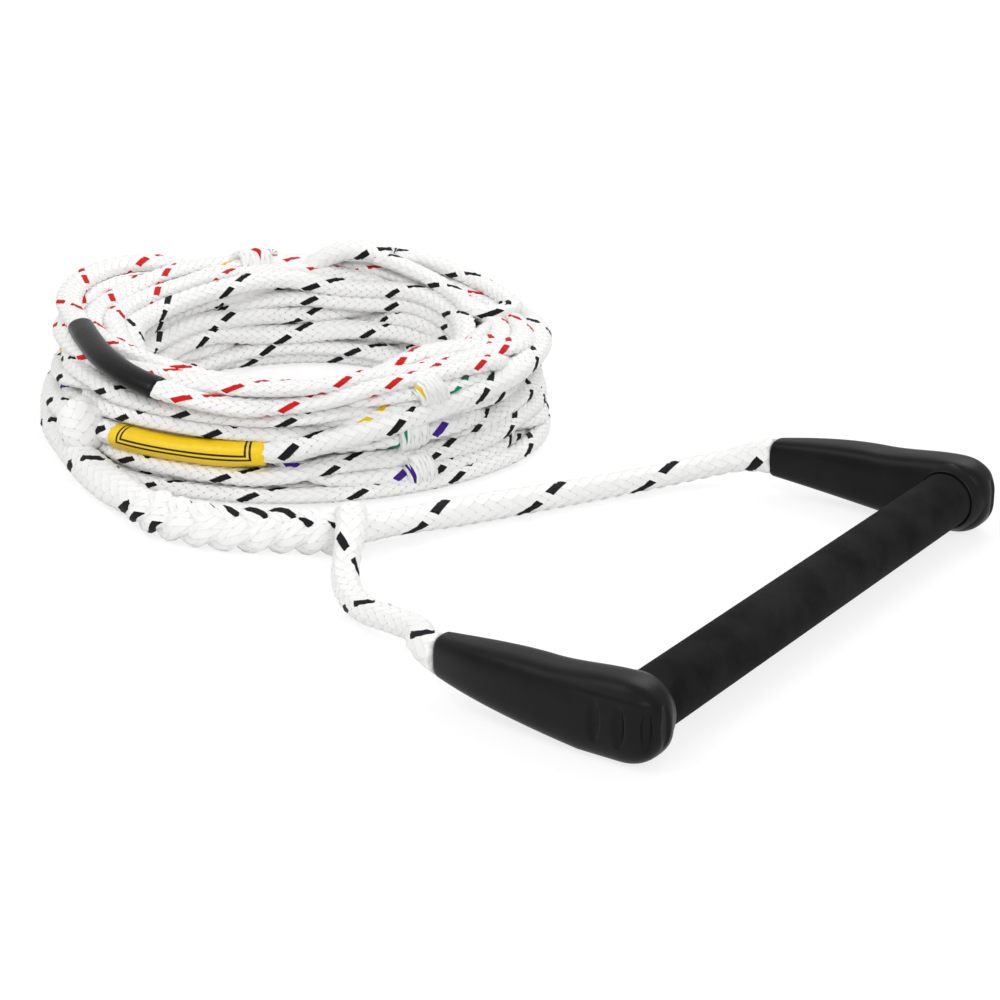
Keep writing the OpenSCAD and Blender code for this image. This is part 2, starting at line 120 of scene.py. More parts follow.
def braid(name, route, up, width, thick, yarns=YARNS_EACH_WAY, pitch=BRAID_PITCH, relief=0.00042, turn=0.0):
    """Tubular braid along a route: each vertex is a yarn's middle or an edge between yarns."""
    s = along(route)
    step = pitch / (4 * yarns)
    rows = max(6, int(round(s[-1] / step))) + 1
    at = np.linspace(0, s[-1], rows)

    def spread(v):
        v = np.asarray(v, float)
        if v.ndim == 0:
            return np.full(rows, float(v))
        return np.interp(at, s, v) if v.ndim == 1 else resample(at, s, v)

    centre, half_w, half_t = spread(route), spread(width) / 2, spread(thick) / 2
    upward, side = moving_frame(centre, spread(up))

    around = 2 * yarns
    j, k = np.arange(rows)[:, None], np.arange(around)[None, :]
    c = 2 * k + (j & 1)
    m, n = (c + j) // 2, (c - j) // 2
    ratios = np.linspace(1.0, 3.0, 41)
    shares = np.arange(2 * around) / (2 * around) + turn
    table = ellipse_angles(shares, ratios)
    place = np.clip((half_w / half_t - 1.0) / (ratios[1] - ratios[0]), 0, 39.999)
    low = place.astype(int)
    part = (place - low)[:, None]
    wrap = np.where(np.abs(table[low + 1] - table[low]) > 3, 0.0, table[low + 1] - table[low])
    psi = np.take_along_axis(table[low] + wrap * part, c, axis=1)

    # Height of the weave: middles of the upper yarns stand up, edges between yarns lie low
    yarn_a, yarn_b = m // 2, n // 2
    over = lambda i, q: ((i + q) % 4) < 2
    mid_a, mid_b = (m % 2) == 1, (n % 2) == 1
    on_a = over(yarn_a, yarn_b - 1).astype(int) + over(yarn_a, yarn_b)
    on_b = 2 - over(yarn_a - 1, yarn_b).astype(int) - over(yarn_a, yarn_b)
    level = np.array([-0.7, 0.35, 1.0])
    height = np.where(mid_a & mid_b, 1.0, np.where(mid_a, level[on_a], np.where(mid_b, level[on_b], -0.9)))

    cos, sin = np.cos(psi)[:, :, None], np.sin(psi)[:, :, None]
    out = side[:, None] * cos / half_w[:, None, None] + upward[:, None] * sin / half_t[:, None, None]
    out /= np.linalg.norm(out, axis=2)[:, :, None]
    verts = (centre[:, None] + side[:, None] * cos * half_w[:, None, None]
             + upward[:, None] * sin * half_t[:, None, None] + out * (relief * height)[:, :, None])
    verts = np.vstack([verts.reshape(-1, 3), centre[:1], centre[-1:]])

    def vert(row, ring):
        return row * around + ((ring - (row & 1)) // 2) % around

    jj, kk = np.meshgrid(np.arange(1, rows - 1), np.arange(around), indexing="ij")
    cc = 2 * kk + (jj & 1)
    corners = ((jj, cc), (jj - 1, cc + 1), (jj, cc + 2), (jj + 1, cc + 1))
    quads = np.stack([vert(row, ring) for row, ring in corners], -1).reshape(-1, 4)
    lay_m, lay_n = (cc + jj) // 2, (cc - jj) // 2
    lay = np.stack([np.stack([lay_m + p, lay_n + q], -1) for p, q in ((0, 0), (0, 1), (1, 1), (1, 0))], 2)

    # Flat map for baking: the tube is cut into strips that lie side by side, with a margin on each
    strips = max(1, int(round(math.sqrt(s[-1] / (math.pi * (half_w.mean() + half_t.mean()))))))
    per = math.ceil(rows / strips)
    margin, used = 0.04, 0.92

    def flat(row, ring, base):
        strip = base // per
        run = (row - strip * per + 2) / (per + 4)
        return np.stack([run, (strip + margin + used * ring / (2 * around + 2)) / strips], -1)

    bake = np.stack([flat(row, ring, jj) for row, ring in corners], 2)
    ends, ends_lay, ends_bake = [], [], []
    for row, near, hub, way in ((0, 1, rows * around, 1), (rows - 1, rows - 2, rows * around + 1, -1)):
        for q in range(around):
            ring = 2 * q + (row & 1)
            a, b = vert(row, ring), vert(row, ring + 2)
            for tri in ((a, b, vert(near, ring + 1)), (b, a, hub)):
                ends.append(tri[::way])
                ends_lay.append([((ring + row) / 2, (ring - row) / 2)] * 3)
                ends_bake.append([flat(np.array(row), np.array(ring + 1), np.array(row))] * 3)

    mesh = bpy.data.meshes.new(name)
    mesh.from_pydata(verts.tolist(), [], quads.tolist() + ends)
    for layer, on_quads, on_ends in (("Weave", lay / 2, np.array(ends_lay) / 2),
                                     ("OFBake", bake, np.array(ends_bake, float))):
        places = np.r_[on_quads.ravel(), on_ends.ravel()]
        mesh.uv_layers.new(name=layer).data.foreach_set("uv", places.astype(np.float32))
    mesh.shade_smooth()
    return add_object(name, mesh)


def ease(t):
    """Smooth step from 0 to 1."""
    t = np.clip(t, 0, 1)
    return t * t * (3 - 2 * t)


def join(tree, value, socket):
    """Links a socket to another node's output, or sets it to a plain value."""
    if isinstance(value, bpy.types.NodeSocket):
        tree.links.new(value, socket)
    else:
        socket.default_value = value


def dress(tree, node, **inputs):
    """Joins a node's named inputs; an underscore stands for a space."""
    for name, value in inputs.items():
        join(tree, value, node.inputs[name.replace("_", " ")])
    return node


def add_node(tree, kind, **inputs):
    """New shader node with its named inputs joined."""
    return dress(tree, tree.nodes.new("ShaderNode" + kind), **inputs)


def maths(tree, operation, *values):
    """Output of a new maths node."""
    node = add_node(tree, "Math")
    node.operation = operation
    for value, socket in zip(values, node.inputs):
        join(tree, value, socket)
    return node.outputs[0]


def away(tree, value, middle):
    """How far a value lies from a middle one."""
    return maths(tree, "ABSOLUTE", maths(tree, "SUBTRACT", value, middle))


def mix_colour(tree, mask, a, b):
    """Colour a where the mask is 0 and b where it is 1."""
    node = add_node(tree, "Mix")
    node.data_type = "RGBA"
    for value, index in ((mask, 0), (a, 6), (b, 7)):
        join(tree, value, node.inputs[index])
    return node.outputs[2]


def opaque(colour, share=1.0):
    """A colour, or a share of it, with full cover."""
    return tuple(c * share for c in colour) + (1,)


def new_finish(name):
    """New material with its node tree and its principled shader."""
    finish = bpy.data.materials.new(name)
    finish.use_nodes = True
    return finish, finish.node_tree, finish.node_tree.nodes["Principled BSDF"]


def weave_group():
    """Twill of two yarn families on the braid's own map: height, tracer, masks of painted shade for the gaps
    between yarns and for the pores where yarns meet, and place on a yarn.
    """
    tree = bpy.data.node_groups.new("braid_twill", "ShaderNodeTree")
    tree.interface.new_socket("Place", in_out="INPUT", socket_type="NodeSocketVector")
    kinds = {"Height": "Float", "Tracer": "Float", "Gap": "Float", "PoreShade": "Float", "Fibre": "Vector"}
    for name, kind in kinds.items():
        tree.interface.new_socket(name, in_out="OUTPUT", socket_type="NodeSocket" + kind)
    start, end = tree.nodes.new("NodeGroupInput"), tree.nodes.new("NodeGroupOutput")
    split = add_node(tree, "SeparateXYZ", Vector=start.outputs["Place"])
    a, b = split.outputs[0], split.outputs[1]
    repeat = 4.0

    def op(operation, *values):
        return maths(tree, operation, *values)

    i, j = op("FLOOR", a), op("FLOOR", b)
    over = op("LESS_THAN", op("FLOORED_MODULO", op("ADD", i, j), repeat), 1.5)
    under = op("SUBTRACT", 1.0, over)

    def choose(x, y):
        return op("ADD", op("MULTIPLY", x, over), op("MULTIPLY", y, under))

    across = choose(op("FRACT", a), op("FRACT", b))
    float_b = op("FLOORED_MODULO", op("SUBTRACT", op("ADD", a, j), 2.0), repeat)
    reach = choose(op("FLOORED_MODULO", op("ADD", b, i), repeat), float_b)
    off_middle = away(tree, op("MULTIPLY", across, 2.0), 1.0)
    off_centre = away(tree, reach, 1.0)
    crown = op("SUBTRACT", 1.0, op("POWER", off_middle, 2.6))
    bow = op("SUBTRACT", 1.0, op("POWER", off_centre, 4.0))
    height = op("MULTIPLY", crown, bow)

    # One yarn of the second family is dyed, and shows a little past the ends of its floats
    dyed = op("LESS_THAN", op("FLOORED_MODULO", j, float(YARNS_EACH_WAY)), 0.5)
    from_float = op("MINIMUM", away(tree, float_b, 1.0), away(tree, float_b, 1.0 + repeat))
    from_middle = away(tree, op("MULTIPLY", op("FRACT", b), 2.0), 1.0)
    shows = op("MULTIPLY", op("LESS_THAN", from_float, 1.3), op("LESS_THAN", from_middle, 0.96))
    tracer = op("MULTIPLY", dyed, shows)
    # Painted shade: the gap and pore masks only darken the rope's colour in the crevices between yarns and at
    # the corners where yarns meet
    gap_shade = op("SUBTRACT", 1.0, op("MULTIPLY", height, 6.0))
    pore_shade = op("MULTIPLY", op("SUBTRACT", op("ADD", off_middle, off_centre), 1.66), 7.0)
    gap_shade.node.use_clamp = pore_shade.node.use_clamp = True
    fibre = add_node(tree, "CombineXYZ", X=across, Y=reach, Z=choose(i, op("ADD", j, 40.0)))
    for name, value in zip(kinds, (height, tracer, gap_shade, pore_shade, fibre.outputs[0])):
        tree.links.new(value, end.inputs[name])
    return tree


braid_twill = weave_group()


def rope_finish(name, tracer_colour, crevice_shade=0.55):
    """Soft white polyethylene yarn, silky along its fibres, with one dyed yarn, and painted shade in the gaps
    and pores between the yarns.
    """
    finish, tree, shader = new_finish(name)
    place = add_node(tree, "UVMap")
    place.uv_map = "Weave"
    weave = add_node(tree, "Group")
    weave.node_tree = braid_twill
    height, tracer, gap_shade, pore_shade, fibre = dress(tree, weave, Place=place.outputs[0]).outputs
    stretch = add_node(tree, "Mapping", Scale=(11.0, 0.55, 3.7), Vector=fibre)
    fibres = add_node(tree, "TexNoise", Scale=1.0, Detail=3.0, Vector=stretch.outputs[0]).outputs[0]
    spot = add_node(tree, "TexCoord").outputs["Object"]
    soil_and_pore_shade = add_node(tree, "TexNoise", Scale=34.0, Detail=4.0, Vector=spot).outputs[0]
    # Painted shade: the gaps between yarns turn grey and the pores where yarns meet near black, the pores in
    # patches from the same noise that varies the off-white tone
    pore_shade_patches = add_node(tree, "MapRange", From_Min=0.4, From_Max=0.6, To_Max=crevice_shade, Value=soil_and_pore_shade)
    white = mix_colour(tree, soil_and_pore_shade, (0.90, 0.895, 0.88, 1), (0.955, 0.955, 0.95, 1))
    for mask, share, shade in ((fibres, 0.12, (0.78, 0.78, 0.78, 1)),
                               (gap_shade, 0.2 + 0.25 * crevice_shade, (0.42, 0.41, 0.4, 1)),
                               (pore_shade, pore_shade_patches.outputs[0], (0.13, 0.125, 0.12, 1))):
        white = mix_colour(tree, maths(tree, "MULTIPLY", mask, share), white, shade)
    crown = maths(tree, "ADD", fibres, maths(tree, "MULTIPLY", height, 0.3))
    mark = maths(tree, "MULTIPLY", tracer, maths(tree, "GREATER_THAN", crown, 0.3))
    dyed = mix_colour(tree, fibres, opaque(tracer_colour, 0.8), opaque(tracer_colour))
    rough = add_node(tree, "MapRange", To_Min=0.5, To_Max=0.72, Value=fibres)
    raised = maths(tree, "ADD", height, maths(tree, "MULTIPLY", fibres, 0.7))
    bump = add_node(tree, "Bump", Strength=0.6, Distance=0.0007, Height=raised)
    dress(tree, shader, Base_Color=mix_colour(tree, mark, white, dyed), Roughness=rough.outputs[0],
          Specular_IOR_Level=maths(tree, "MULTIPLY_ADD", mark, -0.32, 0.42),
          Sheen_Weight=maths(tree, "MULTIPLY_ADD", mark, -0.12, 0.12), Sheen_Roughness=0.4,
          Normal=bump.outputs[0])
    return finish


# Rope with a black tracer; the last figure sets how dark the painted shade in the weave's gaps and pores is
black_tracer = rope_finish("rope_black_tracer", (0.012, 0.012, 0.014), 0.25)
LEG_D = 13 * MM
FAN_REACH, PRESSED_END = 27 * MM, 60 * MM
leg_start = np.array([149.75, 59.8, 19.25]) * MM


def lay_leg(name, node, exit, points, turn, buried):
    """One leg through points in millimetres: it fans out at the mouth and is pressed flat in the throat."""
    route = catmull(np.vstack([exit, np.array(points) * MM]), 12)
    s = along(route)
    fan = np.clip(1 - s / FAN_REACH, 0, 1) ** 1.3
    pressed = np.clip((s - s[-1] + PRESSED_END) / 0.02, 0, 1)
    fuller = buried * ease((s / s[-1] - 0.3) / 0.6)
    width = LEG_D * (1.02 + fuller) + fan * 3.4 * MM + pressed * 2.0 * MM
    thick = LEG_D * (0.93 + fuller) + fan * 7.4 * MM - pressed * 2.6 * MM
    piece = braid(name, route, upright(route), width, thick, pitch=0.067, turn=turn)
    piece.data.materials.append(black_tracer)
    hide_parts(node)
    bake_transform(piece)


lay_leg("left_leg_rope", "left_bridle_leg", leg_start * [-1, 1, 1], [
    [-148.5, 65, 19.2], [-143, 75, 18.6], [-131, 87, 17], [-122, 107, 13.5], [-112, 130, 9], [-99, 149, 7],
    [-86, 162, 8], [-76, 169, 11.5], [-67, 174, 16.5], [-57.5, 180, 21.5], [-48, 187, 23.5], [-40, 194, 20],
    [-35.5, 199, 12.5], [-35, 201, 7]], turn=0.1, buried=0.0)
lay_leg("right_leg_rope", "right_bridle_leg", leg_start, [
    [149.4, 66, 18.4], [147.5, 77, 15.5], [138.5, 94, 10.5], [116, 111, 7.8], [86.5, 128, 7.3],
    [54.5, 145.5, 7.6], [23.5, 162.5, 8.2], [-4, 176, 9.2], [-21, 183.5, 10.4], [-33, 187.5, 11],
    [-43, 191.5, 11]], turn=0.35, buried=0.24)

# Throat: the handle's three rope strands plaited into one soft bar, which the left leg wraps over.
# Same braided rope, laid by hand in a flat three-strand plait that ends inside the handle line.
PLAIT_START, PLAIT_PERIOD = 3.6 * MM, 43 * MM
PLAIT_SWING, PLAIT_LIFT = 5.8 * MM, 3.5 * MM
plait_middle = catmull(np.array([
    [-41, 188.5, 11.8], [-47.5, 194.9, 11.8], [-53, 208, 11.8], [-60.1, 222, 11.8], [-67.9, 234.1, 11.8],
    [-75.5, 251, 11.8], [-78.5, 271.5, 11.8], [-75, 295.6, 11.4], [-72.4, 304, 10.6]]) * MM, 16)
plait_s = along(plait_middle)
plait_face, plait_side = moving_frame(plait_middle, np.tile([-0.45, -0.42, 0.78], (len(plait_middle), 1)))
plait_open = 0.3 + 0.4 * ease(plait_s / (10 * MM)) + 0.3 * ease((plait_s[-1] - plait_s) / (14 * MM))
for number, tracer_turn in enumerate((0.25, 0.52, 0.95)):
    swing = 2 * np.pi * ((plait_s - PLAIT_START) / PLAIT_PERIOD + number / 3)
    strand = (plait_middle + plait_side * (PLAIT_SWING * np.sin(swing) * plait_open)[:, None]
              + plait_face * (PLAIT_LIFT * np.sin(2 * swing) * plait_open)[:, None])
    lean = plait_face + plait_side * (0.6 * np.sin(swing))[:, None]
    piece = braid(f"throat_plait_strand_{number + 1}", strand, lean, (9 + 4.6 * plait_open) * MM,
                  (6.4 + 2.8 * plait_open) * MM, pitch=0.075, relief=0.0003, turn=tracer_turn)
    piece.data.materials.append(black_tracer)
    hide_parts(*(["throat_plait", "throat_splice"] if number == 0 else ["throat_plait"]))
    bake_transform(piece)

# Handle line: the plait runs on as one thick soft braid, with the rope's own end buried inside it.
# It lies on the floor round the coil's foot and ends in the loop that the main section is hitched to.
LINE_D = 20 * MM
line_route = catmull(np.array([
    [-75, 295.6, 10.5], [-67.5, 315, 10.5], [-59, 337, 10.2], [-45, 364, 9.8], [-28.5, 391, 9.5],
    [-10, 419, 9.5], [12, 441, 9.5], [37, 463, 10.5], [66, 480, 12.5], [96, 490, 16], [122, 492, 20],
    [148, 488.5, 23], [160, 484, 23.5]]) * MM, 14)
line_s = along(line_route)
line_grow = np.clip(line_s / (30 * MM), 0, 1)
line_slim = np.clip((line_s - 60 * MM) / (70 * MM), 0, 1)
handle_line = braid("handle_line_rope", line_route, upright(line_route),
                    (0.8 + 0.2 * line_grow - 0.2 * line_slim) * LINE_D,
                    (0.72 + 0.18 * line_grow - 0.16 * line_slim) * LINE_D,
                    pitch=0.07, relief=0.0006, turn=0.3)
handle_line.data.materials.append(black_tracer)
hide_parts("handle_line")
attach(handle_line, "line")

# Coil: six tow-line sections hitched loop to loop, wound by hand into a flat ring.
# About 21 m of the same braided rope, each section with its own tracer colour.
# Each turn falls on the ones before it and is pressed flat; the turns wander and cross as hand-laid turns do.
coil_c = np.array([109.0, 343.0])
COIL_R = 113.0
LAY_W, LAY_T = 12.6, 7.7
SLOTS = 72
FIRST_ANGLE = 67.0
TURNS = 29.08
joins = {"violet": 13.51, "green": 14.51, "yellow": 15.497, "red": 17.04, "boat": 22.119}


def wind_coil():
    """Turn, radius, height and room along the rope: turns push apart where they meet, and are smoothed."""
    n = int(round(TURNS * SLOTS)) + 1
    t = np.arange(n) / SLOTS
    wave = (0.84 * np.sin(2 * np.pi * 0.382 * t + 0.6) + 0.36 * np.sin(2 * np.pi * 1.31 * t + 2.0)
            + 0.2 * np.sin(2 * np.pi * 2.17 * t + 4.1))
    heading = (FIRST_ANGLE - 360 * t + 180) % 360 - 180
    left_of = (heading - 90) % 360 - 270
    spread_out = 18 * ease((left_of + 200) / 20) * ease((-46 - left_of) / 45)
    drawn_in = 9 * np.exp(-((heading + 42) / 32) ** 2)
    spread_in = 13 * ease((heading + 80) / 40) * ease((118 - heading) / 40)
    ceiling = np.interp(heading, [-180, -140, -90, -65, -30, -10, 25, 60, 85, 110, 180],
                        [56, 56, 54, 48.5, 46, 49, 52, 52.5, 56, 58.5, 56])
    under_sleeve = np.exp(-((left_of + 205) / 32) ** 2)
    changes = [0, 13.4, 13.6, 16.8, 17.3, 21.9, 22.5, TURNS]
    middle = np.interp(t, changes, [COIL_R, COIL_R, 126, 122, 117, 117, 102, 102])
    swing = np.interp(t, changes, [19.5, 19.5, 6, 8, 13, 13, 7, 7])
    r = middle + swing * np.clip(wave, -1, 1)
    z = np.interp(t, [0, 1.2, 3, 13.4, 14, 15, 16.8, 17.3, 21.9, 22.5, 28.7, TURNS],
                  [8, 5, 7, 42, 20, 34, 48, 53, 57, 20, 46, 60])
    z = z + 4.0 * np.sin(2 * np.pi * 0.87 * t + 1.0)
    z = z - 12 * under_sleeve * ((t > 15.5) & (t < 21.6))

    # Places that are held, as turn, radius and height: the lead-in, the sleeves, the hitches and the far end
    hold = np.zeros(n)
    hold_r, hold_z = r.copy(), z.copy()
    for knots, weight in (
            ([(0, 150, 23), (0.1, 149, 29), (0.2, 140, 36), (0.3, 134, 41.5), (0.4, 133, 44),
              (0.453, 134.5, 43.5), (0.489, 136, 41.5), (0.516, 136, 38.5), (0.55, 136.5, 33.5),
              (0.58, 137, 28), (0.604, 137.5, 24.5), (0.65, 136.5, 23), (0.714, 138, 23.5),
              (0.76, 139, 24.5), (0.82, 136, 22), (0.92, 133, 15), (1.05, 132, 6)], 1.0),
            ([(1.1, 131, 4.5), (1.9, 129, 5), (2.3, 124, 6), (2.9, 118, 7), (3.3, 132, 13), (3.9, 131, 14),
              (4.3, 122, 16), (4.7, 126, 17)], 0.3),
            ([(11.5, 130, 35.5), (11.62, 133, 36), (11.76, 131, 36)], 0.5),
            ([(12.5, 130, 43), (12.62, 132, 43.5), (12.76, 130, 44)], 0.5),
            ([(13.44, 139, 11), (13.51, 141, 11), (13.58, 139, 12)], 0.8),
            ([(14.45, 134, 30), (14.51, 135.5, 31), (14.57, 134, 32)], 0.5),
            ([(15.44, 130, 50), (15.497, 132, 50.5), (15.55, 130, 51)], 0.7),
            ([(16.97, 115, 51), (17.04, 115, 53.5), (17.11, 115, 52)], 0.9),
            ([(19.36, 101, 51), (19.43, 106, 53), (19.50, 114, 55), (19.55, 122, 56), (19.60, 128, 54),
              (19.664, 131, 50)], 0.6),
            ([(21.61, 137, 49), (21.665, 136, 53.5), (21.69, 134, 56), (21.72, 129, 58), (21.76, 123, 59),
              (21.80, 121, 59), (21.83, 125, 59.5), (21.856, 132, 60), (21.90, 140, 60.5),
              (21.933, 143, 60.5), (21.956, 141, 59.5), (21.975, 135, 57.5), (22.0, 126, 54)], 0.95),
            ([(28.72, 98, 34), (28.9, 98, 38), (29.0, 99, 42), (29.08, 102, 49)], 0.9)):
        k = np.array(knots)
        inside = (t >= k[0, 0]) & (t <= k[-1, 0])
        hold[inside] = weight
        hold_r[inside] = np.interp(t[inside], k[:, 0], k[:, 1])
        hold_z[inside] = np.interp(t[inside], k[:, 0], k[:, 2])
        if weight < 0.35:
            hold_r[inside] += spread_out[inside] * np.clip((24 - hold_z[inside]) / 18, 0, 1)
    r, z = r + hold * (hold_r - r), z + hold * (hold_z - z)

    # Turns lie side by side at each slot round the ring, so each is compared with the others there
    rows = math.ceil(n / SLOTS)
    spare = rows * SLOTS - n
    far_off = np.full(spare, 1e4)
    real = np.r_[np.ones(n, bool), np.zeros(spare, bool)].reshape(rows, SLOTS)
    pairs = real[:, None] & real[None, :] & ~np.eye(rows, dtype=bool)[:, :, None]
    later = np.sign(np.arange(rows)[:, None] - np.arange(rows)[None, :])[:, :, None]
    steps, push, most = 700, 0.35, 2
    for turn in range(steps):
        calm = turn / steps
        rr, zz = np.r_[r, far_off].reshape(rows, SLOTS), np.r_[z, far_off].reshape(rows, SLOTS)
        dr, dz = rr[:, None] - rr[None, :], zz[:, None] - zz[None, :]
        near = np.sqrt((dr / LAY_W) ** 2 + (dz / LAY_T) ** 2) + 1e-6
        overlap = np.clip(1 - near, 0, None) * pairs
        nr, nz = dr / LAY_W**2, dz / LAY_T**2
        size = np.sqrt(nr**2 + nz**2) + 1e-9
        deep = overlap * np.sqrt(dr**2 + dz**2) / near
        same = near < 0.05
        push_z = np.where(same, overlap * LAY_T / 2 * later, deep * nz / size)
        push_r = np.where(same, 0.0, deep * nr / size)
        r = r + np.clip(push * push_r.sum(1).ravel()[:n], -most, most)
        z = z + np.clip(push * push_z.sum(1).ravel()[:n], -most, most)
        for line in (r, z):
            for _ in range(2):
                lap = np.zeros(n)
                lap[1:-1] = (line[:-2] + line[2:]) / 2 - line[1:-1]
                stiff = np.zeros(n)
                stiff[1:-1] = (lap[:-2] + lap[2:]) / 2 - lap[1:-1]
                line += 0.14 * (1 - calm) * lap - 0.4 * stiff
        z -= 0.07 * (1 - calm)
        foot = np.clip((24 - z) / 18, 0, 1)
        slope = np.clip((44 - z) / 34, 0, 1)
        belly = spread_out * foot - drawn_in * np.clip((z - 18) / 20, 0, 1)
        shoulder = 4.0 * np.clip((z - 48) / 12, 0, 1) ** 2
        edge = 19.6 - shoulder + np.where(r > COIL_R, belly, spread_in * slope) - 4.0 * foot**2
        free = hold < 0.9
        over = np.clip(np.abs(r - COIL_R) - edge, 0, None) * np.sign(r - COIL_R)
        r = r + 0.08 * spread_out / 16 * foot * free * (r > COIL_R + 4) * (1 - calm)
        r = r - 0.05 * spread_in / 13 * slope * free * (r < COIL_R - 4) * (1 - calm)
        r = r - 0.5 * over * free
        z = z - 0.25 * np.clip(z - ceiling, 0, None) * free
        r, z = r + 0.3 * hold * (hold_r - r), z + 0.3 * hold * (hold_z - z)
        z = np.maximum(z, LAY_T / 2)
    crowd = np.where(pairs, near, 9.0).min(1).ravel()[:n]
    return t, r, z, np.clip(crowd, 0.84, 1.14)


FINER = 5
FLOOR_REST = 5.2
fine_t, fine_r, fine_z, fine_room = catmull(np.column_stack(wind_coil()), FINER).T
fine_z = np.maximum(fine_z, FLOOR_REST)
fine_angle = np.radians(FIRST_ANGLE - 360 * fine_t)
coil_out = np.c_[np.cos(fine_angle), np.sin(fine_angle), np.zeros(len(fine_t))]
coil_route = np.c_[coil_c + fine_r[:, None] * coil_out[:, :2], fine_z] * MM
coil_lean = 0.2 * np.sin(2 * np.pi * 0.71 * fine_t) + 0.14 * np.sin(2 * np.pi * 2.3 * fine_t + 1.3)
outward = np.clip((fine_r - COIL_R) / 14, -0.55, 0.35)
coil_lean += outward * (1 - ease((fine_z - 46) / 12)) * ease((fine_t - 1.1) / 0.3)
coil_lean *= ease((fine_z - 4.5) / 8)
coil_up = np.array([0, 0, 1.0]) + coil_out * coil_lean[:, None]


def swell(at, reach, more):
    """Extra girth of a buried splice that fades out over reach turns."""
    return more * np.clip(1 - np.abs(fine_t - at) / reach, 0, 1)


coil_girth = 1.05 * fine_room
for at in joins.values():
    coil_girth += swell(at, 0.11, 0.22)
coil_girth += np.where(fine_t < 1.2, swell(0.6, 0.62, 0.6), 0)
coil_girth += np.where(fine_t > 28, swell(TURNS, 0.2, 0.25), 0)
coil_flat = (1.05 + 0.08 * np.sin(2 * np.pi * 1.05 * fine_t + 1)
             + 0.06 * np.sin(2 * np.pi * 3.1 * fine_t + 2))

tracers = {
    "main": rope_finish("coil_black_tracer", (0.012, 0.012, 0.014)),
    "violet": rope_finish("rope_violet_tracer", (0.06, 0.02, 0.26)),
    "green": rope_finish("rope_green_tracer", (0.0, 0.32, 0.17)),
    "yellow": rope_finish("rope_yellow_tracer", (0.95, 0.62, 0.0)),
    "red": rope_finish("rope_red_tracer", (0.72, 0.012, 0.01)),
}
tracers["boat"] = tracers["main"]
bounds_t = [0.0, *joins.values(), TURNS]
stands_for = {"main": ["main_section", "coil_core"]}
for index, (name, finish) in enumerate(tracers.items()):
    part = (fine_t >= bounds_t[index] - 1e-6) & (fine_t <= bounds_t[index + 1] + 0.003)
    route = coil_route[part]
    piece = braid(f"{name}_rope", route, coil_up[part],
                  LAY_W * MM * coil_girth[part] ** 0.5 * coil_flat[part],
                  LAY_T * MM * coil_girth[part] / coil_flat[part], turn=0.17 * index)
    piece.data.materials.append(finish)
    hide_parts(*stands_for.get(name, [f"{name}_section"]))
    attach(piece, "line")

# Hitches: each section ends in an eye, and the next is hitched through it in two tight wraps.
# The same rope, drawn up hard, so the wraps stand out from the coil.


def coil_frame(t):
    """Place on the rope at turn t, in millimetres, with the ways ahead, out and up there."""
    def on_rope(turn):
        return np.array([np.interp(turn, fine_t, column) for column in coil_route.T])

    ahead = on_rope(t + 0.004) - on_rope(t - 0.004)
    ahead /= np.linalg.norm(ahead)
    a = math.radians(FIRST_ANGLE - 360 * t)
    out = np.array([math.cos(a), math.sin(a), 0.0])
    up = np.cross(ahead, out)
    return on_rope(t) / MM, ahead, out, up * (1 if up[2] > 0 else -1)


def wrapped_hitch(name, t, finish, half_out, half_up, shift, lean, reach, rope_w):
    """Two wraps round the rope at turn t, in millimetres; reach is half their run along it."""
    at, ahead, out, up = coil_frame(t)
    turn = np.linspace(-0.35 * np.pi, 4.35 * np.pi, 110)
    run = np.interp(turn, [turn[0], turn[-1]], [-reach, reach])
    taper = 1 - 0.25 * np.clip((np.abs(run) - reach + 1), 0, 1)
    route = (at + out * shift + np.outer(run + lean * np.sin(turn), ahead)
             + np.outer(half_out * taper * np.cos(turn), out)
             + np.outer(half_up * taper * np.sin(turn), up)) * MM
    face = np.outer(np.cos(turn) / half_out, out) + np.outer(np.sin(turn) / half_up, up)
    piece = braid(name, route, face, rope_w * MM, 5.6 * MM, pitch=0.11, relief=0.0003, turn=0.4)
    piece.data.materials.append(finish)
    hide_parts(name.replace("_knot", ""))
    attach(piece, "line")


# For each: half width, half height, shift outward, lean, half run along the rope, and width of the wrap
for name, *wraps in (
        ("violet", 6.5, 7.2, 2.5, 0.9, 5.6, 7.4), ("green", 6.3, 7.0, 2.0, -0.8, 5.6, 7.4),
        ("yellow", 6.3, 6.0, 2.5, 2.5, 6.2, 7.6), ("red", 8.5, 7.0, 0.0, 3.5, 10.0, 10.0),
        ("boat", 8.0, 6.5, 1.0, -0.7, 5.6, 7.4), ("line", 9.5, 8.8, 0.0, 2.5, 9.0, 9.4)):
    wrapped_hitch(f"{name}_hitch_knot", joins.get(name, 0.004), tracers.get(name, black_tracer), *wraps)

# Sleeves: shrunk plastic tubes that grip the rope, a yellow one by the handle and a black one further on.
# Thin glossy film drawn tight and faintly rippled; the yellow one carries a plain double keyline.
FILM_SIDES, FILM_RINGS = 48, 90


def solid_from(name, form):
    """Closes a drawn form into a smooth object."""
    bmesh.ops.recalc_face_normals(form, faces=form.faces[:])
    mesh = bpy.data.meshes.new(name)
    form.to_mesh(mesh)
    form.free()
    mesh.shade_smooth()
    return add_object(name, mesh)


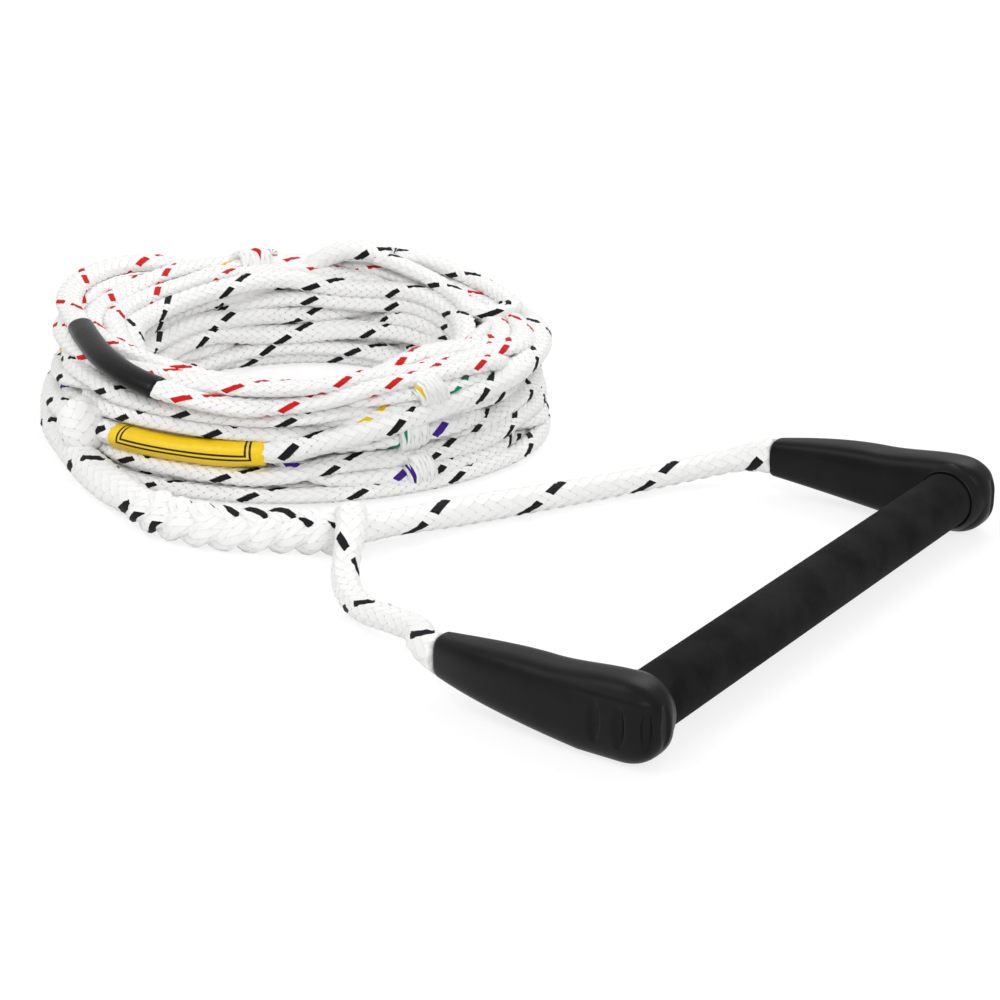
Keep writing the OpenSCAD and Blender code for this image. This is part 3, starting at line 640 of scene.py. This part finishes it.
def film_sleeve(name, node, t0, t1, grow):
    """Film over the rope from turn t0 to t1, which stands off it by grow millimetres."""
    inside = (fine_t >= t0) & (fine_t <= t1)
    route = coil_route[inside]
    s = along(route)
    at = np.linspace(0, s[-1], FILM_RINGS)
    centre = resample(at, s, route)
    upward, side = moving_frame(centre, resample(at, s, coil_up[inside]))
    lip = 1 - 0.9 * np.exp(-np.minimum(at, s[-1] - at) / 0.0006)
    psi = np.linspace(0, 2 * np.pi, FILM_SIDES, endpoint=False)
    width = np.interp(at, s, LAY_W * MM * coil_girth[inside] ** 0.5)
    thick = np.interp(at, s, LAY_T * MM * coil_girth[inside])
    half_w = (width / 2 + grow * MM * lip)[:, None, None]
    half_t = (thick / 2 + grow * MM * lip)[:, None, None]
    points = (centre[:, None] + side[:, None] * np.cos(psi)[None, :, None] * half_w
              + upward[:, None] * np.sin(psi)[None, :, None] * half_t)
    form = bmesh.new()
    uv = form.loops.layers.uv.new("Film")
    rows = [[form.verts.new(p) for p in ring] for ring in points]
    for j in range(FILM_RINGS - 1):
        for i in range(FILM_SIDES):
            k = (i + 1) % FILM_SIDES
            face = form.faces.new((rows[j][i], rows[j][k], rows[j + 1][k], rows[j + 1][i]))
            for loop, place in zip(face.loops, ((j, i), (j, i + 1), (j + 1, i + 1), (j + 1, i))):
                loop[uv].uv = (place[0] / (FILM_RINGS - 1), place[1] / FILM_SIDES)
    for ring in (rows[0], rows[-1]):
        form.faces.new(ring)
    piece = solid_from(name, form)
    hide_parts(node)
    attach(piece, "line")
    return piece


def film_finish(name, colour, rough, shine, line_colour=None):
    """Shrunk film, faintly rippled and glossy, with a double keyline if it has a line colour."""
    finish, tree, shader = new_finish(name)
    place = add_node(tree, "UVMap")
    place.uv_map = "Film"
    split = add_node(tree, "SeparateXYZ", Vector=place.outputs[0])
    spot = add_node(tree, "TexCoord").outputs["Object"]
    ripple = add_node(tree, "TexNoise", Scale=240.0, Vector=spot).outputs[0]
    tone = mix_colour(tree, ripple, opaque(colour, 0.88), opaque(colour))
    if line_colour is not None:
        length, girth, half_line = 0.088, 0.046, 0.0006
        u = maths(tree, "MULTIPLY", away(tree, split.outputs[0], 0.5), length)
        v = maths(tree, "MULTIPLY", away(tree, split.outputs[1], 0.32), girth)
        inset = maths(tree, "MAXIMUM", maths(tree, "SUBTRACT", u, 0.0372), maths(tree, "SUBTRACT", v, 0.0094))
        for middle in (0.0, -0.0024):
            ink = maths(tree, "LESS_THAN", away(tree, inset, middle), half_line)
            tone = mix_colour(tree, ink, tone, opaque(line_colour))
    bump = add_node(tree, "Bump", Strength=0.25, Distance=0.0004, Height=ripple)
    dress(tree, shader, Base_Color=tone, Roughness=rough, Specular_IOR_Level=shine, Coat_Weight=0.4 * shine,
          Coat_Roughness=0.12, Normal=bump.outputs[0])
    return finish


film_sleeve("yellow_film", "yellow_sleeve", 0.6, 0.7055, 0.75).data.materials.append(
    film_finish("yellow_film", (0.95, 0.64, 0.0), 0.36, 0.3, (0.01, 0.01, 0.01)))
film_sleeve("black_film", "black_sleeve", 21.668, 21.805, 1.0).data.materials.append(
    film_finish("black_film", (0.005, 0.005, 0.006), 0.3, 0.16))

# Eye knob: behind the yellow sleeve the rope's own end is tucked back into a round knob.
# The same braid, swollen to about 25 mm by the end inside it; it sits on the outside of the coil.
KNOB_TURN, KNOB_HALF, KNOB_STEPS = 0.727, 14, 40
knob_at, knob_ahead, knob_out, knob_up = coil_frame(KNOB_TURN)
knob_way = np.linspace(-KNOB_HALF, KNOB_HALF, KNOB_STEPS)
knob_axis = 0.87 * knob_up + 0.5 * knob_ahead
knob_route = (knob_at + knob_out * 7 + knob_up * 2 + np.outer(knob_way, knob_axis)
              + np.outer(0.012 * knob_way**2, knob_out)) * MM
knob_round = np.sqrt(np.clip(1.02 - (knob_way / KNOB_HALF) ** 2, 0, None))
knob = braid("eye_knob_rope", knob_route, np.tile(knob_out, (KNOB_STEPS, 1)), (7 + 17 * knob_round) * MM,
             (7 + 18.5 * knob_round) * MM, pitch=0.06, relief=0.0005, turn=0.2)
knob.data.materials.append(black_tracer)
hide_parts("main_section")
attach(knob, "line")

# Boat end: the last section is spliced back on itself into a tow loop over the coil's far rim.
# The splice is the rope with its own end buried in it, so it is thicker until the loop opens.


def on_rim(angle, r, z):
    """Places on the coil at angles, radii and heights in degrees and millimetres."""
    a = np.radians(angle)
    return np.stack([coil_c[0] + r * np.cos(a), coil_c[1] + r * np.sin(a), z * np.ones_like(a)], -1) * MM


end_r, end_z = fine_r[-1], fine_z[-1]
splice_angle = np.array([33, 28, 22, 15, 8])
splice_route = catmull(np.vstack([coil_route[fine_t > 28.975][::6], on_rim(
    splice_angle, np.interp(splice_angle, [15, 24, 38], [110, 108, end_r]),
    np.interp(splice_angle, [8, 15, 22, 28, 33, 38], [62, 64, 64, 61, 55.5, end_z]))]), 6)
splice_s = along(splice_route) / along(splice_route)[-1]
splice = braid("boat_splice_rope", splice_route, upright(splice_route),
               np.interp(splice_s, [0, 0.4, 0.75, 1], [14.4, 15, 16.5, 21]) * MM,
               np.interp(splice_s, [0, 0.4, 0.75, 1], [10.6, 11, 11.4, 9.5]) * MM, pitch=0.058)
splice.data.materials.append(black_tracer)
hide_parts("boat_splice")
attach(splice, "line")

LOOP_R, LOOP_HALF = 112, 13
LOOP_FROM, LOOP_SPAN, LOOP_Z = 12, 50, 52
way = np.linspace(0, 1, 15)
bend = np.radians(np.linspace(90, -90, 13))[1:-1]
loop_angle = LOOP_FROM - LOOP_SPAN * way
loop_r = np.interp(way, [0, 0.25, 0.65, 1], [110, LOOP_R, LOOP_R, LOOP_R])
loop_z = np.interp(way, [0, 0.25, 0.65, 1], [62, 59, 54, LOOP_Z])
loop_open = np.interp(way, [0, 0.3, 1], [4.5, 10, LOOP_HALF])
out_side = on_rim(loop_angle, loop_r + loop_open, loop_z)
back_side = on_rim(loop_angle, loop_r - loop_open, loop_z)[::-1]
nose = on_rim(LOOP_FROM - LOOP_SPAN - np.degrees(LOOP_HALF * np.cos(bend) / LOOP_R),
              LOOP_R + LOOP_HALF * np.sin(bend), LOOP_Z - 0.4 * np.cos(bend))
loop_route = catmull(np.vstack([out_side, nose, back_side]), 5)
loop = braid("boat_loop_rope", loop_route, upright(loop_route), 11.6 * MM, 8.4 * MM)
loop.data.materials.append(black_tracer)
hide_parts("boat_loop")
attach(loop, "line")

# End caps: two moulded rubber boots that hold the tube's ends and lead the rope out of their arms.
# Satin charcoal rubber; the nose is fluted on its outer side for the hand, with a brow over the flutes.
# Each is lofted along the arm from rounded-square sections, and a turned rim closes round the grip.
BAR = np.array([0.0, -40.5, 19.0])
ARM_REACH, OUTER_SIDE, INNER_SIDE, TOE_IN = 100, 169, 143, 12
NOSE_TOP, SHOULDER_TOP, MOUTH_TOP, MOUTH_LOW = 38, 34.5, 29, 9.5
CAP_MIDDLE, CAP_HALF = 156, 13
NOSE_BACK, NOSE_POWER, SIDE_POWER = 19.8, 2.3, 3.2
CAP_SIDES = 128
FLUTE_Z, FLUTE_HALF, BROW_Z = 19.3, 9.8, 31.2


def lobe(c, power):
    """Cosine or sine drawn out towards a square's, for a rounded-square outline."""
    return np.sign(c) * np.abs(c) ** (2 / power)


def cap_rings():
    """Rings of the right cap's skin from the back of the nose to the mouth, in millimetres."""
    angles = np.radians(np.linspace(88.5, 0, 44))
    v = np.r_[-NOSE_BACK * lobe(np.sin(angles), NOSE_POWER), np.linspace(0.8, 40, 50),
              np.linspace(41.5, 98.6, 38), 99.4, 99.9, ARM_REACH]
    s = np.r_[lobe(np.cos(angles), NOSE_POWER), np.ones(88), 0.985, 0.955, 0.92]
    t = np.clip(v / ARM_REACH, 0, 1)
    b = np.clip((t - 0.42) / 0.58, 0, 1)
    outer = OUTER_SIDE - TOE_IN * t**3
    inner = INNER_SIDE - 0.5 * ease(t / 0.6)
    top = (NOSE_TOP + (SHOULDER_TOP - NOSE_TOP) * ease(t / 0.42)
           + (MOUTH_TOP - SHOULDER_TOP) * b * b * (3 - b) / 2)
    low = MOUTH_LOW * np.clip((t - 0.2) / 0.8, 0, 1)
    psi = np.linspace(0, 2 * np.pi, CAP_SIDES, endpoint=False)
    qx, qz = lobe(np.cos(psi), SIDE_POWER), lobe(np.sin(psi), SIDE_POWER)
    x = ((outer + inner) / 2)[:, None] + qx * ((outer - inner) / 2 * s)[:, None]
    z = ((top + low) / 2)[:, None] + qz * ((top - low) / 2 * s)[:, None]
    y = np.repeat((v + BAR[1])[:, None], CAP_SIDES, axis=1)
    rings = np.stack([x, y, z], 2)

    # Flutes: upright grooves round the outer back of the nose, each fading out under the brow
    for k, deep in ((-9.5, 1.4), (1.8, 2.1), (14.7, 2.2), (28, 1.5)):
        if k < 0:
            place, way = np.array([CAP_HALF, -k]), np.array([1.0, 0.0])
        else:
            a = math.radians(3 * k)
            place = np.array([CAP_HALF * lobe(math.cos(a), NOSE_POWER),
                              -NOSE_BACK * lobe(math.sin(a), NOSE_POWER)])
            way = np.array([math.cos(a) ** 1.13 / CAP_HALF, -math.sin(a) ** 1.13 / NOSE_BACK])
            way /= np.linalg.norm(way)
        flat = np.stack([x - CAP_MIDDLE, y - BAR[1]], 2) - place
        aside, out = flat @ np.array([-way[1], way[0]]), flat @ way
        lens = np.clip(1 - ((z - FLUTE_Z) / FLUTE_HALF) ** 2, 0, 1)
        depth = deep * np.exp(-(aside / (0.9 + 1.6 * lens)) ** 4) * lens**0.7 * ease((out + 6) / 4)
        rings[:, :, 0] -= way[0] * depth
        rings[:, :, 1] -= way[1] * depth
    brow = 0.6 * np.exp(-((z - BROW_Z) / 1.8) ** 2) * ease((x - 157) / 8)
    rings[:, :, 0] += brow * ease((30 - v[:, None]) / 18) * (s[:, None] > 0.3)
    return rings


def turn_round(form, profile, steps, closed):
    """Turns a profile, given as places along the bar and radii, round the bar into the form."""
    edge = [form.verts.new((x * MM, (BAR[1] + r) * MM, BAR[2] * MM)) for x, r in profile]
    wire = [form.edges.new(pair) for pair in zip(edge, edge[1:] + edge[:1] if closed else edge[1:])]
    bmesh.ops.spin(form, geom=edge + wire, cent=BAR * MM, axis=(1, 0, 0), angle=2 * math.pi, steps=steps,
                   use_merge=True)
    bmesh.ops.remove_doubles(form, verts=form.verts[:], dist=1e-6)


def end_cap(name, node, side):
    """One cap: the lofted skin, closed at both ends, and the rim turned round the grip."""
    rings = cap_rings()
    rings[:, :, 0] *= side
    form = bmesh.new()
    rows = [[form.verts.new(p * MM) for p in ring] for ring in rings]
    for near, far in zip(rows[:-1], rows[1:]):
        for i in range(len(near)):
            form.faces.new((near[i - 1], near[i], far[i], far[i - 1]))
    form.faces.new(rows[0])
    form.faces.new(rows[-1])
    # The rim's profile, as places along the bar from the cap's inner side, and radii
    rim = [(10.5, 19.0), (8.0, 18.6), (6.0, 18.1), (4.2, 17.5), (2.7, 16.8), (1.5, 16.1), (0.6, 15.5),
           (0.05, 15.0), (-0.05, 14.75), (0.2, 14.5), (0.8, 14.35), (3.0, 14.3)]
    turn_round(form, [(side * (INNER_SIDE + a), r) for a, r in rim], 96, False)
    piece = solid_from(name, form)
    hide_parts(node)
    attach(piece, "handle")
    return piece


def rubber_finish(name, colour, rough, grain, depth, shine, mottle):
    """Dark rubber: a fine grain from the mould, and paler patches by the factor mottle."""
    finish, tree, shader = new_finish(name)
    spot = add_node(tree, "TexCoord").outputs["Object"]
    cloud = add_node(tree, "TexNoise", Scale=42.0, Detail=5.0, Vector=spot).outputs[0]
    fine_grain = add_node(tree, "TexNoise", Scale=grain, Detail=2.0, Vector=spot)
    patch = add_node(tree, "MapRange", From_Min=0.36, From_Max=0.66, Value=cloud)
    worn = add_node(tree, "MapRange", To_Min=rough - 0.06, To_Max=rough + 0.08, Value=cloud)
    bump = add_node(tree, "Bump", Strength=0.5, Distance=depth, Height=fine_grain.outputs[0])
    tone = mix_colour(tree, patch.outputs[0], opaque(colour), opaque(colour, mottle))
    dress(tree, shader, Base_Color=tone, Roughness=worn.outputs[0], Specular_IOR_Level=shine,
          Normal=bump.outputs[0])
    return finish


cap_rubber = rubber_finish("cap_rubber", (0.0036, 0.0036, 0.0037), 0.38, 900.0, 0.00012, 0.145, 1.9)
for name, node, side in (("left_cap_form", "left_end_cap", -1), ("right_cap_form", "right_end_cap", 1)):
    end_cap(name, node, side).data.materials.append(cap_rubber)

# Grip and tube: a suede-faced foam-rubber sleeve pushed over a drawn aluminium tube.
# Inside each end a nylon plug seals the tube and holds the rope's stopper knot.
GRIP_R, GRIP_BORE, GRIP_END = 14.0, 11.3, 146.5
grip_profile = [(-GRIP_END, GRIP_BORE), (-GRIP_END, 13.7), (-146.2, GRIP_R)]
grip_profile += [(x, GRIP_R) for x in np.linspace(-140, 140, 57)]
grip_profile += [(146.2, GRIP_R), (GRIP_END, 13.7), (GRIP_END, GRIP_BORE)]
form = bmesh.new()
turn_round(form, grip_profile, 128, True)
grip = solid_from("grip_form", form)
grip.data.materials.append(
    rubber_finish("grip_suede", (0.004, 0.0039, 0.0038), 0.86, 1500.0, 0.0003, 0.11, 3.8))
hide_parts("grip_sleeve")
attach(grip, "handle")


def plain_finish(name, colour, rough, metal, grain):
    """Drawn metal or moulded plastic: a fine grain along the bar."""
    finish, tree, shader = new_finish(name)
    spot = add_node(tree, "TexCoord").outputs["Object"]
    stretch = add_node(tree, "Mapping", Scale=grain, Vector=spot)
    drawn = add_node(tree, "TexNoise", Scale=1.0, Vector=stretch.outputs[0])
    tone = mix_colour(tree, drawn.outputs[0], opaque(colour, 0.9), opaque(colour))
    dress(tree, shader, Base_Color=tone, Metallic=metal, Roughness=rough)
    return finish


def repaint(node, finish):
    """Gives a solid of the CAD frame its finish."""
    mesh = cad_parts[node].data
    mesh.materials.clear()
    mesh.materials.append(finish)


repaint("handle_tube", plain_finish("drawn_aluminium", (0.8, 0.8, 0.81), 0.34, 1.0, (12.0, 900.0, 900.0)))
nylon = plain_finish("nylon", (0.7, 0.69, 0.64), 0.5, 0.0, (300.0, 300.0, 300.0))
for side, word in ((-1, "left"), (1, "right")):
    repaint(f"{word}_tube_plug", nylon)
    bar_end = np.array([side * 153.5, BAR[1], BAR[2]])
    mouth = np.array([side * 149.75, 59.8, 19.25])
    run = (mouth - bar_end) / np.linalg.norm(mouth - bar_end)
    tail_route = (bar_end + np.outer(np.linspace(4, 99, 60), run)) * MM
    tail = braid(f"{word}_tail_rope", tail_route, upright(tail_route), 8.6 * MM, 8.4 * MM, pitch=0.07,
                 relief=0.0002)
    tail.data.materials.append(black_tracer)
    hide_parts(f"{word}_leg_tail")
    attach(tail, "handle")

    # Stopper knot: an overhand knot drawn up small in the plug's pocket
    turn = np.linspace(0, 2 * np.pi, 160)
    across, above = np.cross(run, [0, 0, 1.0]), np.array([0, 0, 1.0])
    ring = 3.6 + 1.25 * np.cos(3 * turn)
    knot_route = (bar_end + np.outer(ring * np.cos(2 * turn), across)
                  + np.outer(ring * np.sin(2 * turn), above)
                  + np.outer(1.5 * np.sin(3 * turn), run)) * MM
    knot = braid(f"{word}_knot_rope", knot_route, np.tile(run, (len(turn), 1)), 3.2 * MM, 3.2 * MM, yarns=4,
                 pitch=0.02, relief=0.0001)
    knot.data.materials.append(black_tracer)
    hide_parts(f"{word}_stopper_knot")
    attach(knot, "handle")

# Floor and light: a pale floor under three soft studio lamps, in a white room.
# The floor glows a little where it is seen, so that it stays as pale as the room behind it.
floor_mesh = bpy.data.meshes.new("floor")
shape = bmesh.new()
bmesh.ops.create_grid(shape, x_segments=1, y_segments=1, size=6.0)
shape.to_mesh(floor_mesh)
shape.free()
floor = add_object("floor", floor_mesh)
FLOOR_GLOW, ROOM_LIGHT, ROOM_SEEN = 0.72, 0.68, 0.32
floor_finish, tree = new_finish("pale_floor")[:2]
tree.nodes.clear()
path = add_node(tree, "LightPath").outputs
seen = maths(tree, "MAXIMUM", path["Is Camera Ray"], path["Is Glossy Ray"])
seen = maths(tree, "MAXIMUM", seen, path["Is Transmission Ray"])
blend = add_node(tree, "MixShader")
join(tree, maths(tree, "MULTIPLY", seen, FLOOR_GLOW), blend.inputs[0])
join(tree, add_node(tree, "BsdfDiffuse", Color=(0.9, 0.9, 0.9, 1)).outputs[0], blend.inputs[1])
join(tree, add_node(tree, "Emission", Strength=1.08).outputs[0], blend.inputs[2])
add_node(tree, "OutputMaterial", Surface=blend.outputs[0])
floor.data.materials.append(floor_finish)

world = bpy.data.worlds.new("studio")
scene.world = world
world.use_nodes = True
tree = world.node_tree
tree.nodes.clear()
path = add_node(tree, "LightPath").outputs
seen = maths(tree, "MAXIMUM", path["Is Camera Ray"], path["Is Transmission Ray"])
light = maths(tree, "ADD", ROOM_LIGHT, maths(tree, "MULTIPLY", seen, ROOM_SEEN))
air = add_node(tree, "Background", Color=(1, 1, 1, 1), Strength=light)
add_node(tree, "OutputWorld", Surface=air.outputs[0])

for name, place, aim, size, power in (
        ("key_lamp", (-0.9, 0.9, 1.7), (0.05, 0.25, 0.03), 1.2, 10.0),
        ("fill_lamp", (-1.2, -1.4, 1.2), (0.0, 0.2, 0.03), 1.4, 13.0),
        ("rim_lamp", (1.4, 0.3, 1.5), (0.05, 0.25, 0.03), 1.2, 12.0)):
    lamp = bpy.data.objects.new(name, bpy.data.lights.new(name, "AREA"))
    lamp.data.shape = "DISK"
    lamp.data.size = size
    lamp.data.energy = power
    lamp.location = place
    lamp.rotation_euler = (Vector(aim) - Vector(place)).to_track_quat("-Z", "Y").to_euler()
    scene.collection.objects.link(lamp)
scene.view_settings.view_transform = "Standard"
